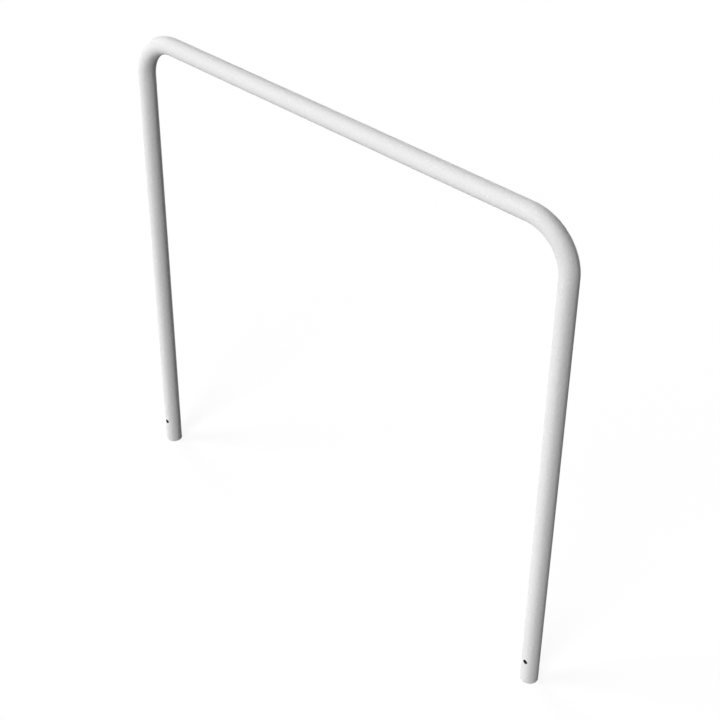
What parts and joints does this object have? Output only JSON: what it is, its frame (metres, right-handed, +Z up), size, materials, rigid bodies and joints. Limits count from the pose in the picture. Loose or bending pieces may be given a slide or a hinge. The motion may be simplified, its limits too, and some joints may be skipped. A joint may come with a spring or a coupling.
{
  "type": "hoop barrier",
  "caption": "Hoop barrier of white powder-coated round steel tube: a straight rail between round bends and plain legs with anchor holes near their feet.",
  "frame": {"origin": "midway between the two legs, at the level of their cut feet", "axes": "+X from the left leg to the right leg, +Y back through the hoop, +Z up the legs"},
  "size_m": [1.5, 0.0484, 1.4],
  "materials": {
    "powder_coat": "nearly matt white powder coat over steel tube, with a faint orange peel and a faint mottle",
    "coated_weld": "the same nearly matt white powder coat, over a weld ground flush"
  },
  "bodies": {
    "root": {"left_leg": "powder_coat", "right_leg": "powder_coat", "left_bend": "powder_coat", "right_bend": "powder_coat", "top_rail": "powder_coat", "left_leg_weld": "coated_weld", "right_leg_weld": "coated_weld", "left_rail_weld": "coated_weld", "right_rail_weld": "coated_weld"}
  },
  "joints": []
}
